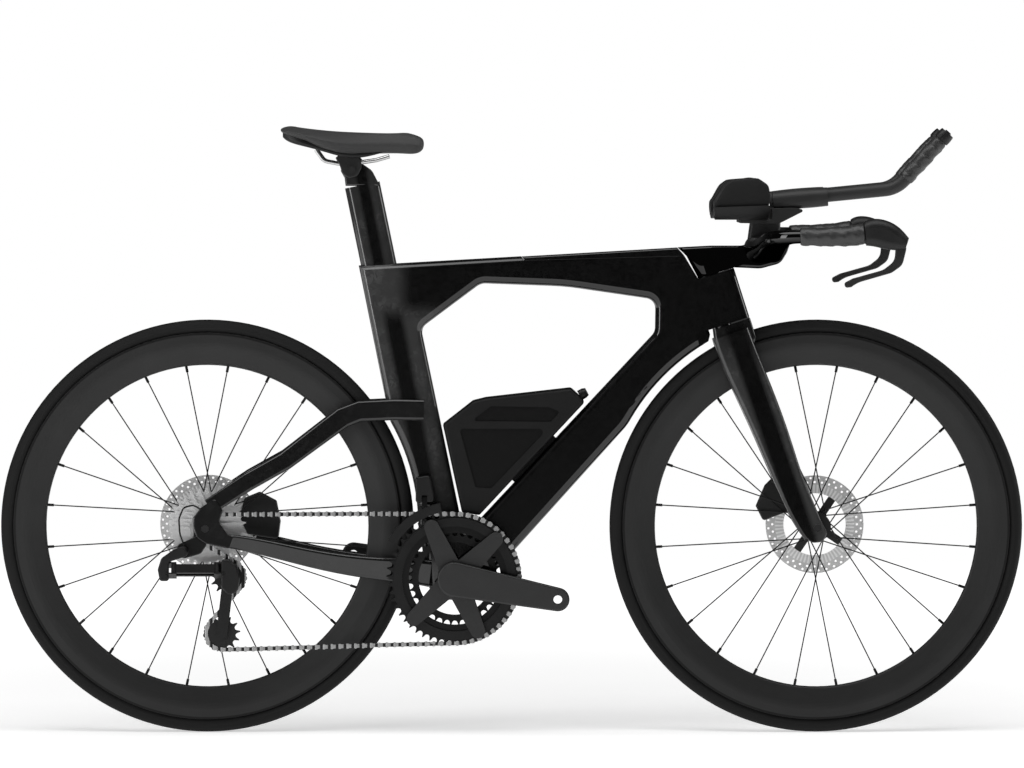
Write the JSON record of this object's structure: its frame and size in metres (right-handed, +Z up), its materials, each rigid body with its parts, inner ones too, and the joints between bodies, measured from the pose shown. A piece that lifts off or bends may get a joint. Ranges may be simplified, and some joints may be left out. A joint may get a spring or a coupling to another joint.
{
  "type": "time trial bike",
  "caption": "Aerodynamic time trial bike with deep carbon rims, disc brakes, base bar with armrests and extensions, frame bottle and electronic derailleurs, without pedals.",
  "frame": {"origin": "on the ground under the middle of the bike, midway between the two axles", "axes": "+X forward along the bike, +Y to the rider's left, +Z up"},
  "size_m": [1.6624, 0.419, 0.9863],
  "materials": {
    "carbon_gloss": "clear gloss over carbon fibre",
    "carbon_satin": "satin carbon fibre",
    "rim_carbon": "matt carbon fibre",
    "tyre_rubber": "matt rubber",
    "black_steel": "black oxide",
    "black_alloy": "satin anodised",
    "bright_steel": "satin",
    "pad_compound": "matt",
    "saddle_skin": "matt synthetic cover",
    "arm_foam": "closed-cell foam",
    "tape": "cushioned tape",
    "black_plastic": "fine grain"
  },
  "bodies": {
    "frame": {"front_triangle": "carbon_gloss", "rear_triangle": "carbon_gloss", "top_tube_cover": "carbon_gloss", "headset_bearings": "bright_steel", "bottom_bracket_cups": "black_alloy", "seatpost": "carbon_gloss", "saddle_clamp": "black_alloy", "saddle_rails": "bright_steel", "saddle_shell": "carbon_satin", "saddle_cover": "saddle_skin", "bottle_body": "black_plastic", "bottle_cap": "black_plastic", "derailleur_knuckle": "black_alloy", "derailleur_wire": "black_steel", "front_derailleur_body": "black_alloy", "chain": "bright_steel", "rear_caliper": "black_alloy", "rear_thru_axle": "black_alloy"},
    "steering": {"fork": "carbon_gloss", "base_bar": "carbon_gloss", "bar_riser": "carbon_gloss", "armrest_cups": "carbon_satin", "armrest_pads": "arm_foam", "extensions": "carbon_satin", "grip_tape": "tape", "shifter_pods": "black_plastic", "lever_housings": "black_plastic", "front_caliper": "black_alloy", "front_thru_axle": "black_alloy"},
    "front_wheel": {"front_hub": "black_alloy", "front_rim": "rim_carbon", "front_tyre": "tyre_rubber", "front_spokes": "black_steel", "front_rotor": "bright_steel"},
    "rear_wheel": {"rear_hub": "black_alloy", "rear_rim": "rim_carbon", "rear_tyre": "tyre_rubber", "rear_spokes": "black_steel", "rear_rotor": "bright_steel"},
    "crankset": {"right_crank_arm": "black_alloy", "left_crank_arm": "black_alloy", "big_chainring": "black_alloy", "small_chainring": "black_alloy"},
    "cassette": {"cassette_sprockets": "bright_steel"},
    "fd_link": {"front_derailleur_link": "black_alloy"},
    "fd_cage": {"front_derailleur_cage": "bright_steel"},
    "rd_outer_link": {"derailleur_outer_link": "black_alloy"},
    "rd_inner_link": {"derailleur_inner_link": "black_alloy"},
    "rd_motor": {"derailleur_motor_knuckle": "black_alloy"},
    "rd_cage": {"derailleur_cage": "bright_steel"},
    "rd_guide_pulley": {"guide_pulley": "black_plastic"},
    "rd_tension_pulley": {"tension_pulley": "black_plastic"},
    "left_lever": {"left_brake_lever": "black_alloy"},
    "right_lever": {"right_brake_lever": "black_alloy"},
    "front_pad_in": {"front_inner_pad": "pad_compound"},
    "front_pad_out": {"front_outer_pad": "pad_compound"},
    "rear_pad_in": {"rear_inner_pad": "pad_compound"},
    "rear_pad_out": {"rear_outer_pad": "pad_compound"},
    "left_button": {"left_shift_button": "black_plastic"},
    "right_button": {"right_shift_button": "black_plastic"}
  },
  "joints": [
    {"name": "steering_turn", "type": "hinge", "parent": "frame", "child": "steering", "pos_m": [0.4534, 0, 0.3224], "axis": [-0.309, 0, 0.9511], "range_deg": [-30, 30]},
    {"name": "front_wheel_spin", "type": "hinge", "parent": "steering", "child": "front_wheel", "pos_m": [0.49525, 0, 0.336], "axis": [0, 1, 0], "continuous": true},
    {"name": "rear_wheel_spin", "type": "hinge", "parent": "frame", "child": "rear_wheel", "pos_m": [-0.49525, 0, 0.336], "axis": [0, 1, 0], "continuous": true},
    {"name": "crank_spin", "type": "hinge", "parent": "frame", "child": "crankset", "pos_m": [-0.09209, 0, 0.25302], "axis": [0, 1, 0], "continuous": true, "deforming": ["chain"]},
    {"name": "cassette_spin", "type": "hinge", "parent": "frame", "child": "cassette", "pos_m": [-0.49525, 0, 0.336], "axis": [0, 1, 0], "continuous": true, "deforming": ["chain"]},
    {"name": "front_derailleur_swing", "type": "hinge", "parent": "frame", "child": "fd_link", "pos_m": [-0.14122, -0.0435, 0.384], "axis": [1, 0, 0], "range_deg": [0, 27.9], "deforming": ["chain"]},
    {"name": "front_cage_swing", "type": "hinge", "parent": "fd_link", "child": "fd_cage", "pos_m": [-0.14122, -0.047, 0.36992], "axis": [1, 0, 0], "range_deg": [-27.9, 0], "deforming": ["chain"]},
    {"name": "rear_derailleur_swing", "type": "hinge", "parent": "frame", "child": "rd_outer_link", "pos_m": [-0.5452, -0.09279, 0.27204], "axis": [0, 0.4226, 0.9063], "range_deg": [0, 38], "deforming": ["chain"]},
    {"name": "rear_inner_link_swing", "type": "hinge", "parent": "frame", "child": "rd_inner_link", "pos_m": [-0.5452, -0.08101, 0.26655], "axis": [0, 0.4226, 0.9063], "range_deg": [0, 38]},
    {"name": "rear_motor_swing", "type": "hinge", "parent": "rd_outer_link", "child": "rd_motor", "pos_m": [-0.47556, -0.09279, 0.27204], "axis": [0, 0.4226, 0.9063], "range_deg": [-38, 0], "deforming": ["chain"]},
    {"name": "rear_cage_swing", "type": "hinge", "parent": "rd_motor", "child": "rd_cage", "pos_m": [-0.45815, 0, 0.25709], "axis": [0, -1, 0], "range_deg": [-10, 45], "stiffness_Nm_per_rad": 0.6, "deforming": ["chain"]},
    {"name": "guide_pulley_spin", "type": "hinge", "parent": "rd_cage", "child": "rd_guide_pulley", "pos_m": [-0.45815, 0, 0.25709], "axis": [0, 1, 0], "continuous": true, "deforming": ["chain"]},
    {"name": "tension_pulley_spin", "type": "hinge", "parent": "rd_cage", "child": "rd_tension_pulley", "pos_m": [-0.46883, 0, 0.16568], "axis": [0, 1, 0], "continuous": true, "deforming": ["chain"]},
    {"name": "left_lever_pull", "type": "hinge", "parent": "steering", "child": "left_lever", "pos_m": [0.61971, 0, 0.8005], "axis": [0, 1, 0], "range_deg": [0, 18], "stiffness_Nm_per_rad": 0.5},
    {"name": "right_lever_pull", "type": "hinge", "parent": "steering", "child": "right_lever", "pos_m": [0.61971, 0, 0.8005], "axis": [0, 1, 0], "range_deg": [0, 18], "stiffness_Nm_per_rad": 0.5},
    {"name": "front_inner_pad_slide", "type": "slide", "parent": "steering", "child": "front_pad_in", "axis": [0, 1, 0], "range_m": [0, 0.0003]},
    {"name": "front_outer_pad_slide", "type": "slide", "parent": "steering", "child": "front_pad_out", "axis": [0, -1, 0], "range_m": [0, 0.0003]},
    {"name": "rear_inner_pad_slide", "type": "slide", "parent": "frame", "child": "rear_pad_in", "axis": [0, 1, 0], "range_m": [0, 0.0003]},
    {"name": "rear_outer_pad_slide", "type": "slide", "parent": "frame", "child": "rear_pad_out", "axis": [0, -1, 0], "range_m": [0, 0.0003]},
    {"name": "left_button_press", "type": "slide", "parent": "steering", "child": "left_button", "axis": [-0.6757, 0, -0.7372], "range_m": [0, 0.0015], "stiffness_N_per_m": 600},
    {"name": "right_button_press", "type": "slide", "parent": "steering", "child": "right_button", "axis": [-0.6757, 0, -0.7372], "range_m": [0, 0.0015], "stiffness_N_per_m": 600}
  ],
  "couplings": [
    {"joint": "cassette_spin", "follows": "crank_spin", "ratio": 4.7273},
    {"joint": "guide_pulley_spin", "follows": "crank_spin", "ratio": -4},
    {"joint": "tension_pulley_spin", "follows": "crank_spin", "ratio": 4},
    {"joint": "front_cage_swing", "follows": "front_derailleur_swing", "ratio": -1},
    {"joint": "rear_inner_link_swing", "follows": "rear_derailleur_swing", "ratio": 1},
    {"joint": "rear_motor_swing", "follows": "rear_derailleur_swing", "ratio": -1},
    {"joint": "front_inner_pad_slide", "follows": "left_lever_pull", "m_per_rad": 0.0009549},
    {"joint": "front_outer_pad_slide", "follows": "left_lever_pull", "m_per_rad": 0.0009549},
    {"joint": "rear_inner_pad_slide", "follows": "right_lever_pull", "m_per_rad": 0.0009549},
    {"joint": "rear_outer_pad_slide", "follows": "right_lever_pull", "m_per_rad": 0.0009549}
  ]
}
